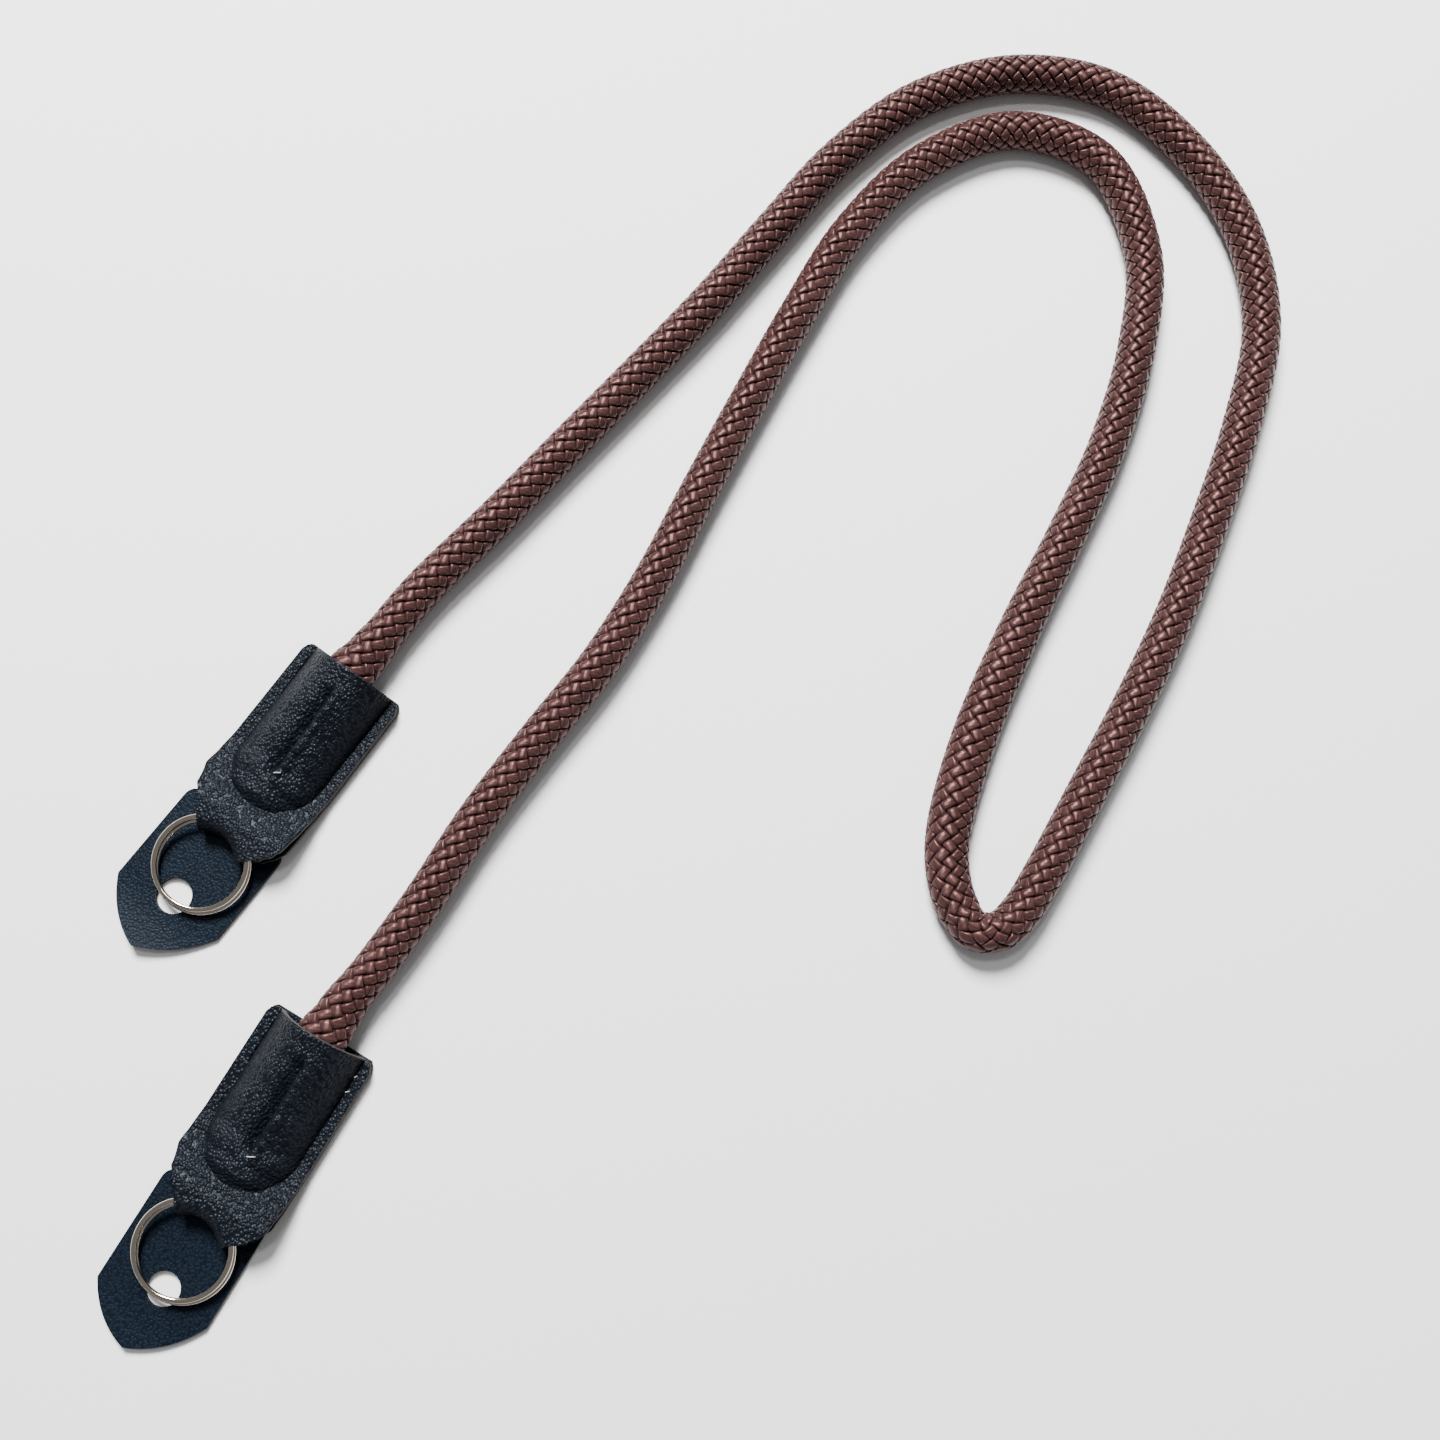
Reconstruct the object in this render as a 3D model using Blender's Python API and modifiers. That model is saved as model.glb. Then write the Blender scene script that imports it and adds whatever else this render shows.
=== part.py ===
# Camera neck strap: one braided rope with a leather pocket, a round split ring
# and a leather protector pad at each end, lying on a surface at z = 0.
# Units are metres and degrees. Each end is modelled about its own empty at the pocket's mouth,
# with the pad's tip towards -Y, and the empty is then laid down and turned.

import math

import bmesh
import bpy
from mathutils import Matrix, Vector

for old in list(bpy.data.objects):
    bpy.data.objects.remove(old, do_unlink=True)

mm = 0.001
full_turn = 360.0
quarter_turn = 90.0

# Fits
gap = 0.3 * mm

# Rope
rope_diameter = 10.0 * mm
rope_step = 2.0
rope_turn_step = 18.0
flat_end_start = 6.0 * mm
flat_end_share = 0.58
rope_lead = 4.0 * mm
flat_end_width = 18.8 * mm
flat_end_shift = 1.2 * mm
flat_end_height = 8.0 * mm

# Leather pocket: one strip folded round the ring
leather = 1.3 * mm
pocket_width = 28.8 * mm
tongue_width = 22.2 * mm
tongue_shift = 0.3 * mm
tongue_height = 8.8 * mm
tongue_end_share = 0.58
tongue_roundness = 2.4
tongue_fullness = 0.75
groove_depth = 1.6 * mm
groove_shift = 0.9 * mm
groove_soft_left = 2.6 * mm
groove_soft_right = 0.9 * mm
mouth_setback = 0.3 * mm
mouth_dip = 0.4 * mm
fold_ease = 0.85 * mm

# Split ring: two turns of flat wire
ring_diameter = 24.2 * mm
wire_width = 1.9 * mm
wire_thickness = 1.05 * mm
wire_chamfer = 0.3 * mm
coil_gap = 0.1 * mm
ring_slack = 0.1 * mm
ring_lift = 0.25 * mm
crossover_angle = 30.0
wire_end_gap = 2.0
ring_segments = 36

# Protector pad
pad_thickness = 1.4 * mm
pad_overlap = 5.6 * mm
pad_projection = 32.6 * mm
pad_corner = 3.2 * mm
pad_bulge = 1.7 * mm
pad_corner_steps = 4
pad_edge_steps = 6
pad_hole_steps = 24
pad_lift_steps = 4
hole_to_tip = 14.7 * mm
lift_start = 12.2 * mm

# Where each end lies, how it is turned, and how its pad was cut and curls
ends = {
    "left": {
        "mouth": (-21.2 * mm, 77.6 * mm),
        "turn": -2.4,
        "rope_shift": 0.6 * mm,
        "pocket_length": 50.4 * mm,
        "pad_width": 29.0 * mm,
        "pad_shift": -0.5 * mm,
        "pad_turn": -1.7,
        "corner_left": 11.0 * mm,
        "corner_right": 13.0 * mm,
        "hole_diameter": 8.6 * mm,
        "hole_shift": -0.3 * mm,
        "tip_lift": 2.0 * mm,
    },
    "right": {
        "mouth": (23.4 * mm, 2.8 * mm),
        "turn": 2.4,
        "rope_shift": 1.4 * mm,
        "pocket_length": 48.4 * mm,
        "pad_width": 27.5 * mm,
        "pad_shift": -0.4 * mm,
        "pad_turn": 0.0,
        "corner_left": 9.7 * mm,
        "corner_right": 12.4 * mm,
        "hole_diameter": 8.0 * mm,
        "hole_shift": 0.6 * mm,
        "tip_lift": 0.5 * mm,
    },
}

# The rope's route on the surface from the left end to the right end, in millimetres
rope_route = [
    (-20.0, 92.0), (-18.9, 104.6), (-14.4, 129.4), (-10.4, 155.1), (-6.2, 181.3),
    (-2.2, 208.1), (0.6, 236.1), (3.8, 263.5), (12.6, 290.4), (30.3, 312.0),
    (54.0, 322.8), (81.1, 319.4), (105.4, 306.6), (122.8, 285.6), (132.0, 258.0),
    (137.8, 230.4), (142.4, 203.5), (145.0, 177.0), (146.4, 151.0), (147.6, 127.0),
    (147.5, 117.4), (145.6, 110.6), (140.4, 107.2), (133.9, 109.9), (127.6, 115.9),
    (122.6, 124.6), (116.0, 148.0), (111.2, 179.0), (108.6, 206.4), (105.2, 234.0),
    (98.0, 261.6), (85.9, 286.0), (63.3, 302.6), (39.4, 297.6), (23.6, 275.4),
    (18.0, 247.4), (19.0, 219.1), (21.4, 191.3), (24.1, 164.5), (27.1, 138.3),
    (28.0, 112.7), (26.2, 88.0), (25.0, 63.7), (25.6, 40.0), (25.0, 21.5),
]

# Pocket outline: station as a share of the edge's length, and how far each edge stands
# from the middle as a share of half the width. The last row is the neck at the fold.
pocket_outline = [
    {"station": 0.000, "left": 0.90, "right": 0.91},
    {"station": 0.020, "left": 0.96, "right": 0.97},
    {"station": 0.050, "left": 0.99, "right": 1.01},
    {"station": 0.760, "left": 0.99, "right": 1.02},
    {"station": 0.865, "left": 0.87, "right": 1.00},
    {"station": 0.910, "left": 0.75, "right": 0.94},
    {"station": 0.957, "left": 0.62, "right": 0.82},
    {"station": 1.000, "left": 0.50, "right": 0.62},
]

# Height of the tongue over the rope's end along the pocket, as shares
tongue_heights = [
    {"station": 0.00, "height": 1.00, "groove": 0.00},
    {"station": 0.11, "height": 0.91, "groove": 0.10},
    {"station": 0.18, "height": 0.85, "groove": 0.85},
    {"station": 0.40, "height": 0.67, "groove": 1.00},
    {"station": 0.62, "height": 0.53, "groove": 1.00},
    {"station": 0.68, "height": 0.50, "groove": 0.00},
    {"station": 1.00, "height": 0.45, "groove": 0.00},
]

# The two leather layers' rise from the surface onto the pad and over the ring
layer_rises = [
    {"station": 0.00, "back": 0.0, "front": 0.0},
    {"station": 0.64, "back": 0.0, "front": 0.0},
    {"station": 0.82, "back": 1.0, "front": 0.0},
    {"station": 0.94, "back": 1.0, "front": 1.0},
    {"station": 1.00, "back": 1.0, "front": 1.0},
]

# The rope's flattened end: shares of its reach, width and height, and its rise
flat_sections = [
    {"station": 0.00, "width": 0.66, "height": 1.00, "shift": 1.00},
    {"station": 0.22, "width": 0.82, "height": 0.75, "shift": 0.35},
    {"station": 0.55, "width": 0.98, "height": 0.50, "shift": 0.20},
    {"station": 0.88, "width": 1.00, "height": 0.34, "shift": 0.10},
    {"station": 1.00, "width": 0.85, "height": 0.22, "shift": 0.10},
]

column_shares = [
    -1.0, -0.88, -0.77, -0.70, -0.60, -0.46, -0.31, -0.16, -0.04,
    0.06, 0.11, 0.19, 0.32, 0.46, 0.60, 0.71, 0.79, 0.89, 1.0,
]
front_stations = [
    0.0, 0.025, 0.07, 0.13, 0.19, 0.27, 0.36, 0.46, 0.55, 0.62,
    0.67, 0.72, 0.77, 0.81, 0.85, 0.88, 0.91, 0.94, 0.97,
]
fold_angles = [90, 67.5, 45, 22.5, 0, -22.5, -45, -67.5, -90]
back_stations = [0.95, 0.9, 0.82, 0.76, 0.7, 0.64, 0.3, 0.0]

# Sizes that follow from the ones above
rope_radius = rope_diameter / 2
wire_middle = (ring_diameter - wire_width) / 2
ring_thickness = 2 * wire_thickness + coil_gap
pad_seat = pad_thickness + gap
fold_radius = ring_thickness / 2 + fold_ease + leather / 2
fold_height = pad_seat + leather / 2 + fold_radius
fold_to_ring = wire_middle + ring_slack
ring_reach = fold_to_ring - fold_radius - leather / 2
flange_rise = leather + gap


def make_material(name, colour, roughness, metallic):
    """A plain Principled BSDF material."""
    material = bpy.data.materials.new(name)
    material.use_nodes = True
    shader = material.node_tree.nodes["Principled BSDF"]
    shader.inputs["Base Color"].default_value = (*colour, 1.0)
    shader.inputs["Roughness"].default_value = roughness
    shader.inputs["Metallic"].default_value = metallic
    return material


def make_collection(name):
    """A collection linked to the scene."""
    collection = bpy.data.collections.new(name)
    bpy.context.scene.collection.children.link(collection)
    return collection


def read_table(table, station, column):
    """A column's value at a station, eased between the rows on either side."""
    station = min(max(station, table[0]["station"]), table[-1]["station"])
    for low, high in zip(table, table[1:]):
        if station <= high["station"]:
            share = (station - low["station"]) / (high["station"] - low["station"])
            eased = share * share * (3 - 2 * share)
            return low[column] + (high[column] - low[column]) * eased
    return table[-1][column]


def new_object(name, data, parent, material):
    """Link an object to the strap's collection, with its material and parent."""
    made = bpy.data.objects.new(name, data)
    strap.objects.link(made)
    made.parent = parent
    data.materials.clear()
    data.materials.append(material)
    return made


def loft(name, sections):
    """A closed mesh through rings of points, with flat ends."""
    mesh = bpy.data.meshes.new(name)
    shape = bmesh.new()
    rings = [[shape.verts.new(point) for point in section] for section in sections]
    count = len(rings[0])
    for ring, following in zip(rings, rings[1:]):
        for i in range(count):
            j = (i + 1) % count
            shape.faces.new((ring[i], ring[j], following[j], following[i]))
    shape.faces.new(rings[0][::-1])
    shape.faces.new(rings[-1])
    bmesh.ops.recalc_face_normals(shape, faces=shape.faces)
    shape.to_mesh(mesh)
    shape.free()
    mesh.shade_smooth()
    mesh.set_sharp_from_angle(angle=math.radians(40))
    return mesh


def tongue_relief(x, y, length):
    """Height of the leather over the rope's end, above the flat edges."""
    half = tongue_width / 2
    share = y / length
    end_start = length * tongue_end_share
    across = x - tongue_shift
    past = max(0.0, y - end_start)
    spread = math.hypot(across, past) / half
    if spread >= 1:
        return 0.0
    arch = (1 - spread ** tongue_roundness) ** tongue_fullness
    side = x - groove_shift
    softness = groove_soft_left if side < 0 else groove_soft_right
    groove = groove_depth * math.exp(-(side / softness) ** 2)
    height = tongue_height * read_table(tongue_heights, share, "height")
    return height * arch - groove * read_table(tongue_heights, share, "groove") * arch


def pocket_point(column, row, length):
    """A point on the middle of the strip, for a column share and a row."""
    kind, value = row
    edge = column * pocket_width / 2
    side = "left" if column < 0 else "right"
    neck = edge * pocket_outline[-1][side]
    along = math.sqrt(fold_to_ring ** 2 - neck ** 2)
    ring_y = length + ring_reach
    if kind == "fold":
        angle = math.radians(value)
        share = 1 - fold_radius * math.cos(angle) / fold_to_ring
        z = fold_height + fold_radius * math.sin(angle)
        return Vector((neck * share, along * share - ring_y, z))
    x = edge * read_table(pocket_outline, value, side)
    first = 0.0
    if kind == "front":
        first = mouth_setback + mouth_dip * max(0.0, 1 - (2 * x / tongue_width) ** 2)
    y = first + value * (ring_y - along - first)
    share = y / (ring_y - fold_to_ring)
    back = leather / 2 + pad_seat * read_table(layer_rises, share, "back")
    if kind == "back":
        return Vector((x, -y, back))
    low = back + flange_rise
    rise = (fold_height + fold_radius - low) * read_table(layer_rises, share, "front")
    return Vector((x, -y, low + rise + tongue_relief(x, y, length)))


def build_pocket(side, end, parent):
    """The folded leather strip as an open surface with a wall."""
    rows = [("front", station) for station in front_stations]
    rows += [("fold", angle) for angle in fold_angles]
    rows += [("back", station) for station in back_stations]
    name = "leather_pocket_" + side
    mesh = bpy.data.meshes.new(name)
    shape = bmesh.new()
    bmesh.ops.create_grid(shape, x_segments=len(column_shares) - 1, y_segments=len(rows) - 1, size=1.0)
    for vert in shape.verts:
        column = round((vert.co.x + 1) / 2 * (len(column_shares) - 1))
        row = round((1 - vert.co.y) / 2 * (len(rows) - 1))
        vert.co = pocket_point(column_shares[column], rows[row], end["pocket_length"])
    bmesh.ops.recalc_face_normals(shape, faces=shape.faces)
    shape.to_mesh(mesh)
    shape.free()
    mesh.shade_smooth()
    pocket = new_object(name, mesh, parent, leather_material)
    wall = pocket.modifiers.new("wall", 'SOLIDIFY')
    wall.thickness = leather
    wall.offset = 0.0
    wall.use_even_offset = True
    return pocket


def ellipse(centre_x, y, half_width, bottom, height):
    """Points of an upright ellipse across the strap."""
    points = []
    for i in range(16):
        angle = math.tau * i / 16
        x = centre_x + half_width * math.cos(angle)
        z = bottom + height / 2 + height / 2 * math.sin(angle)
        points.append(Vector((x, -y, z)))
    return points


def build_flat_end(side, end, parent):
    """The rope's end: round outside the pocket, pressed flat inside it."""
    floor = leather + gap
    half = flat_end_width / 2
    entry = flat_sections[0]
    sections = [ellipse(end["rope_shift"], -flat_end_start, rope_radius, 0.0, rope_diameter)]
    sections.append(ellipse(
        (end["rope_shift"] + flat_end_shift) / 2,
        -flat_end_start / 2,
        (rope_radius + half * entry["width"]) / 2,
        floor / 2,
        (rope_diameter + flat_end_height * entry["height"]) / 2,
    ))
    for row in flat_sections:
        sections.append(ellipse(
            flat_end_shift * row["shift"],
            flat_end_share * end["pocket_length"] * row["station"],
            half * row["width"],
            floor,
            flat_end_height * row["height"],
        ))
    return new_object("rope_end_" + side, loft("rope_end_" + side, sections), parent, rope_material)


def bowed_line(start, stop, bulge, count):
    """Points from start up to stop on a line that bows to the right of the way."""
    a = Vector(start)
    chord = Vector(stop) - a
    side = Vector((chord.y, -chord.x)).normalized()
    shares = [i / count for i in range(count)]
    return [a + chord * share + side * bulge * 4 * share * (1 - share) for share in shares]


def pad_points(end):
    """The pad's outline: two rounded top corners, straight sides and a pointed tip."""
    half = end["pad_width"] / 2
    top = end["pocket_length"] - pad_overlap
    tip = end["pocket_length"] + pad_projection
    points = []
    for centre_x, start in ((half - pad_corner, 0.0), (-half + pad_corner, quarter_turn)):
        for i in range(pad_corner_steps + 1):
            angle = math.radians(start + quarter_turn * i / pad_corner_steps)
            points.append(Vector((
                centre_x + pad_corner * math.cos(angle),
                -top - pad_corner + pad_corner * math.sin(angle),
            )))
    left = (-half, -tip + end["corner_left"])
    right = (half, -tip + end["corner_right"])
    points += bowed_line(left, (0.0, -tip), pad_bulge, pad_edge_steps)
    points += bowed_line((0.0, -tip), right, pad_bulge, pad_edge_steps)
    points.append(Vector(right))
    return points


def build_pad(side, end, parent):
    """The protector pad: a flat tongue with a round hole, its tip curled up a little."""
    name = "protector_pad_" + side
    tip = end["pocket_length"] + pad_projection
    outline = bpy.data.curves.new(name + "_outline", 'CURVE')
    outline.dimensions = '2D'
    outline.fill_mode = 'BOTH'
    outline.extrude = pad_thickness / 2
    hole = []
    for i in range(pad_hole_steps):
        angle = math.tau * i / pad_hole_steps
        hole.append(Vector((
            end["hole_diameter"] / 2 * math.cos(angle) + end["hole_shift"],
            end["hole_diameter"] / 2 * math.sin(angle) - tip + hole_to_tip,
        )))
    for points in (pad_points(end), hole):
        spline = outline.splines.new('POLY')
        spline.points.add(len(points) - 1)
        for target, point in zip(spline.points, points):
            target.co = (point.x, point.y, 0.0, 1.0)
        spline.use_cyclic_u = True
    guide = bpy.data.objects.new(name + "_outline", outline)
    strap.objects.link(guide)
    bpy.context.view_layer.update()
    evaluated = guide.evaluated_get(bpy.context.evaluated_depsgraph_get())
    mesh = bpy.data.meshes.new_from_object(evaluated)
    bpy.data.objects.remove(guide)
    shape = bmesh.new()
    shape.from_mesh(mesh)
    bmesh.ops.remove_doubles(shape, verts=shape.verts, dist=0.00001)
    for i in range(pad_lift_steps):
        cut = -tip + lift_start * (1 - i / pad_lift_steps)
        geometry = shape.verts[:] + shape.edges[:] + shape.faces[:]
        bmesh.ops.bisect_plane(shape, geom=geometry, dist=0.000001, plane_co=(0, cut, 0), plane_no=(0, 1, 0))
    for vert in shape.verts:
        share = max(0.0, (lift_start - tip - vert.co.y) / lift_start)
        vert.co.z += pad_thickness / 2 + end["tip_lift"] * share ** 2
    bmesh.ops.recalc_face_normals(shape, faces=shape.faces)
    shape.to_mesh(mesh)
    shape.free()
    mesh.name = name
    pad = new_object(name, mesh, parent, leather_material)
    hinge = Vector((end["pad_shift"], -end["pocket_length"], 0.0))
    turn = Matrix.Rotation(math.radians(end["pad_turn"]), 4, 'Z')
    mesh.transform(Matrix.Translation(hinge) @ turn @ Matrix.Translation((0, end["pocket_length"], 0)))
    return pad


def wire_section(angle, height):
    """The ring wire's chamfered section at an angle round the ring."""
    half_w = wire_width / 2
    half_t = wire_thickness / 2
    cut = wire_chamfer
    corners = [
        (half_w, half_t - cut), (half_w - cut, half_t), (-half_w + cut, half_t), (-half_w, half_t - cut),
        (-half_w, -half_t + cut), (-half_w + cut, -half_t), (half_w - cut, -half_t), (half_w, -half_t + cut),
    ]
    points = []
    for out, up in corners:
        reach = wire_middle + out
        points.append(Vector((reach * math.cos(angle), reach * math.sin(angle), height + up)))
    return points


def build_ring(side, end, parent):
    """Two turns of flat wire that cross over inside the leather fold."""
    pitch = wire_thickness + coil_gap
    half_cross = crossover_angle / 2
    first = half_cross + wire_end_gap
    last = 2 * full_turn - first
    count = 2 * ring_segments
    sections = []
    for i in range(count + 1):
        degrees = first + (last - first) * i / count
        share = min(max((degrees - full_turn + half_cross) / crossover_angle, 0.0), 1.0)
        height = pitch * (share * share * (3 - 2 * share) - 0.5)
        sections.append(wire_section(math.radians(degrees + quarter_turn), height))
    name = "split_ring_" + side
    ring = new_object(name, loft(name, sections), parent, steel_material)
    held = fold_height + ring_lift
    resting = pad_seat + ring_thickness / 2 + ring_lift
    tilt = math.asin((held - resting) / (2 * wire_middle))
    ring.location = (0.0, -end["pocket_length"] - ring_reach, (held + resting) / 2)
    ring.rotation_euler = (tilt, 0.0, 0.0)
    return ring


def smooth_route(points, count):
    """Points along a smooth curve through the route, close together."""
    ends_added = [2 * points[0] - points[1]] + points + [2 * points[-1] - points[-2]]
    line = []
    for p0, p1, p2, p3 in zip(ends_added, ends_added[1:], ends_added[2:], ends_added[3:]):
        t1 = math.sqrt((p1 - p0).length)
        t2 = t1 + math.sqrt((p2 - p1).length)
        t3 = t2 + math.sqrt((p3 - p2).length)
        for i in range(count):
            t = t1 + (t2 - t1) * i / count
            a1 = p0 * ((t1 - t) / t1) + p1 * (t / t1)
            a2 = p1 * ((t2 - t) / (t2 - t1)) + p2 * ((t - t1) / (t2 - t1))
            a3 = p2 * ((t3 - t) / (t3 - t2)) + p3 * ((t - t2) / (t3 - t2))
            b1 = a1 * ((t2 - t) / t2) + a2 * (t / t2)
            b2 = a2 * ((t3 - t) / (t3 - t1)) + a3 * ((t - t1) / (t3 - t1))
            line.append(b1 * ((t2 - t) / (t2 - t1)) + b2 * ((t - t1) / (t2 - t1)))
    line.append(points[-1].copy())
    return line


def thin_out(line):
    """Keep a point every two diameters, and closer where the rope turns."""
    kept = [line[0]]
    walked = 0.0
    turned = 0.0
    for before, here, after in zip(line, line[1:], line[2:]):
        walked += (here - before).length
        turned += math.degrees((here - before).angle(after - here))
        if walked >= rope_step * rope_diameter or turned >= rope_turn_step:
            kept.append(here)
            walked = 0.0
            turned = 0.0
    if (line[-1] - kept[-1]).length < rope_radius:
        kept.pop()
    kept.append(line[-1])
    return kept


def build_rope():
    """The free rope between the two flattened ends."""
    points = [Vector((x * mm, y * mm, rope_radius)) for x, y in rope_route]
    faces = []
    leads = []
    for end in ends.values():
        away = flat_end_start + gap
        faces.append(end_matrix(end) @ Vector((end["rope_shift"], away, rope_radius)))
        leads.append(end_matrix(end) @ Vector((end["rope_shift"], away + rope_lead, rope_radius)))
    kept = thin_out(smooth_route([leads[0]] + points + [leads[1]], 12))
    curve = bpy.data.curves.new("rope", 'CURVE')
    curve.dimensions = '3D'
    curve.bevel_depth = rope_radius
    curve.bevel_resolution = 4
    curve.use_fill_caps = True
    spline = curve.splines.new('POLY')
    spline.points.add(len(kept) + 1)
    for target, point in zip(spline.points, [faces[0]] + kept + [faces[1]]):
        target.co = (*point, 1.0)
    return new_object("rope", curve, None, rope_material)


def end_matrix(end):
    """Where an end's empty stands and how it is turned."""
    place = Matrix.Translation((*end["mouth"], 0.0))
    return place @ Matrix.Rotation(math.radians(end["turn"]), 4, 'Z')


strap = make_collection("camera_neck_strap")
rope_material = make_material("braided_rope", (0.12, 0.035, 0.035), 0.55, 0.0)
leather_material = make_material("navy_leather", (0.012, 0.014, 0.022), 0.5, 0.0)
steel_material = make_material("steel", (0.62, 0.6, 0.57), 0.25, 1.0)

build_rope()
for side, end in ends.items():
    empty = bpy.data.objects.new("end_" + side, None)
    strap.objects.link(empty)
    empty.location = (*end["mouth"], 0.0)
    empty.rotation_euler = (0.0, 0.0, math.radians(end["turn"]))
    build_flat_end(side, end, empty)
    build_pocket(side, end, empty)
    build_ring(side, end, empty)
    build_pad(side, end, empty)
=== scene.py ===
import math

import bmesh
import bpy
import numpy as np
from mathutils import Matrix, Vector, noise


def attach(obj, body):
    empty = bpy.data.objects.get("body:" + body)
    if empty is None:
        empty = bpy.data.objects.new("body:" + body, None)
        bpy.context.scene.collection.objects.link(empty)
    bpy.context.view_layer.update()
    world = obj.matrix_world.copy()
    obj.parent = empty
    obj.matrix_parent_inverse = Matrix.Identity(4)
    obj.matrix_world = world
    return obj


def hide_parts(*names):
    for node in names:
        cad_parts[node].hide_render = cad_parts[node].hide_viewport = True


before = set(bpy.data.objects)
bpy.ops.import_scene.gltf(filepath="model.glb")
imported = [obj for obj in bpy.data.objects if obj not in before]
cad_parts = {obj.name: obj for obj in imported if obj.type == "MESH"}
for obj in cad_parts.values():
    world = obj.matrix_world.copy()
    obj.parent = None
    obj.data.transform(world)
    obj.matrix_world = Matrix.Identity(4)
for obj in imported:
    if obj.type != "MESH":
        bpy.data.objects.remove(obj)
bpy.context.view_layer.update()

mm = 0.001


# Camera, from the photo's own view of the floor

cameraView = {
    "place": (87.3, 46.5, 367.2),    # mm
    "forward": (-0.0715, 0.1902, -0.9791),
    "up": (-0.5395, 0.8182, 0.1983),
    "lens": 37.5,
    "sensor": 36.0,
}


def makeCamera(view):
    data = bpy.data.cameras.new("photoCamera")
    data.lens = view["lens"]
    data.sensor_width = view["sensor"]
    data.clip_start = 0.01
    data.clip_end = 20.0
    forward = Vector(view["forward"]).normalized()
    right = forward.cross(Vector(view["up"])).normalized()
    up = right.cross(forward)
    turn = Matrix((right, up, -forward)).transposed().to_4x4()
    camera = bpy.data.objects.new("photoCamera", data)
    camera.matrix_world = Matrix.Translation(Vector(view["place"]) * mm) @ turn
    bpy.context.scene.collection.objects.link(camera)
    bpy.context.scene.camera = camera


makeCamera(cameraView)
print("camera placed")


# Mesh helpers

def readMesh(mesh):
    points = np.empty(len(mesh.vertices) * 3, np.float32)
    mesh.vertices.foreach_get("co", points)
    return points.reshape(-1, 3).astype(np.float64)


def writeMesh(mesh, points):
    mesh.vertices.foreach_set("co", points.astype(np.float32).ravel())
    mesh.update()


def addObject(name, mesh):
    piece = bpy.data.objects.new(name, mesh)
    bpy.context.scene.collection.objects.link(piece)
    return piece


def gridMesh(name, across, along, place, uvSize):
    # a grid whose points are laid out by place(u, v), with u across and v along from 0 to 1
    shape = bmesh.new()
    shape.loops.layers.uv.new("UVMap")
    bmesh.ops.create_grid(shape, x_segments=across, y_segments=along, size=1.0, calc_uvs=True)
    mesh = bpy.data.meshes.new(name)
    shape.to_mesh(mesh)
    shape.free()
    flat = readMesh(mesh)
    writeMesh(mesh, place((flat[:, 0] + 1) / 2, (flat[:, 1] + 1) / 2))
    corners = np.empty(len(mesh.loops) * 2, np.float32)
    layer = mesh.uv_layers["UVMap"].data
    layer.foreach_get("uv", corners)
    corners = corners.reshape(-1, 2) * np.array(uvSize, np.float32)
    layer.foreach_set("uv", corners.ravel())
    return mesh


def closeTube(mesh):
    # weld the seam of a rolled grid and fill its two ends
    shape = bmesh.new()
    shape.from_mesh(mesh)
    bmesh.ops.remove_doubles(shape, verts=shape.verts, dist=0.002 * mm)
    openEdges = [edge for edge in shape.edges if edge.is_boundary]
    bmesh.ops.holes_fill(shape, edges=openEdges, sides=0)
    bmesh.ops.recalc_face_normals(shape, faces=shape.faces)
    shape.to_mesh(mesh)
    shape.free()
    mesh.shade_smooth()


def joinMeshes(name, meshes):
    # one mesh from several, with their UV maps kept
    shape = bmesh.new()
    for mesh in meshes:
        shape.from_mesh(mesh)
    joined = bpy.data.meshes.new(name)
    shape.to_mesh(joined)
    shape.free()
    for mesh in meshes:
        bpy.data.meshes.remove(mesh)
    joined.shade_smooth()
    return joined


def tableValue(table, station, column):
    # a column eased between a table's rows, for an array of stations
    stations = np.array([row["station"] for row in table])
    values = np.array([row[column] for row in table])
    at = np.clip(station, stations[0], stations[-1])
    index = np.clip(np.searchsorted(stations, at, side="right") - 1, 0, len(stations) - 2)
    share = (at - stations[index]) / (stations[index + 1] - stations[index])
    eased = share * share * (3 - 2 * share)
    return values[index] + (values[index + 1] - values[index]) * eased


def noiseField(points, scale, seed):
    # smooth noise at each point, for gentle unevenness
    shift = Vector((seed * 7.31, seed * 3.17, seed * 5.53))
    return np.array([noise.noise(Vector(point) * scale + shift) for point in points])


# Where the two ends lie: the pocket's mouth, its turn, and the sizes that differ

endPlaces = {
    "left": {
        "mouth": (-21.2, 77.6), "turn": -2.4, "ropeShift": 0.6, "pocketLength": 50.4,
        "padWidth": 29.0, "padShift": -0.5, "padTurn": -1.7, "cornerLeft": 11.0, "cornerRight": 13.0,
        "holeDiameter": 8.6, "holeShift": -0.3, "tipLift": 2.0, "grooveShift": 0.7, "seed": 1,
    },
    "right": {
        "mouth": (23.4, 2.8), "turn": 2.4, "ropeShift": 1.4, "pocketLength": 48.4,
        "padWidth": 27.5, "padShift": -0.4, "padTurn": 0.0, "cornerLeft": 9.7, "cornerRight": 12.4,
        "holeDiameter": 8.0, "holeShift": 0.6, "tipLift": 0.5, "grooveShift": 1.3, "seed": 2,
    },
}


def endMatrix(end):
    place = Matrix.Translation((end["mouth"][0], end["mouth"][1], 0))
    return place @ Matrix.Rotation(math.radians(end["turn"]), 4, 'Z')


def layAt(end, points):
    # points in millimetres about the pocket's mouth, laid where the end lies, in metres
    turn = np.array(endMatrix(end))
    return (points @ turn[:3, :3].T + turn[:3, 3]) * mm


# Rope

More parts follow.
